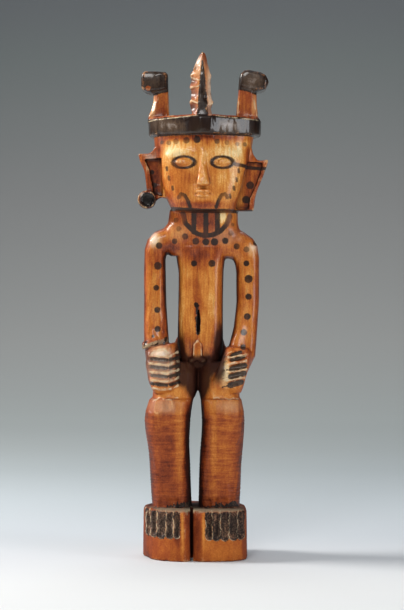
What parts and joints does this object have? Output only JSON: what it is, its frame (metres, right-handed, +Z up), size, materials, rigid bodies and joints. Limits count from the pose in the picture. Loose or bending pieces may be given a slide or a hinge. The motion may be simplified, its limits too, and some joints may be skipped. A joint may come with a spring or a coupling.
{
  "type": "carved wooden statuette",
  "caption": "Standing figure carved from one log, with hands on its thighs, a tall crown, flaring ears and a broad base block that it stands on.",
  "frame": {"origin": "on the flat underside, midway between the two feet", "axes": "+Z up along the figure, -Y the way the figure faces, so its right side lies at -X"},
  "size_m": [0.0783, 0.0578, 0.3],
  "materials": {
    "carved_wood": "oiled satin with worn dark paint"
  },
  "bodies": {
    "root": {"carved_figure": "carved_wood"}
  },
  "joints": []
}
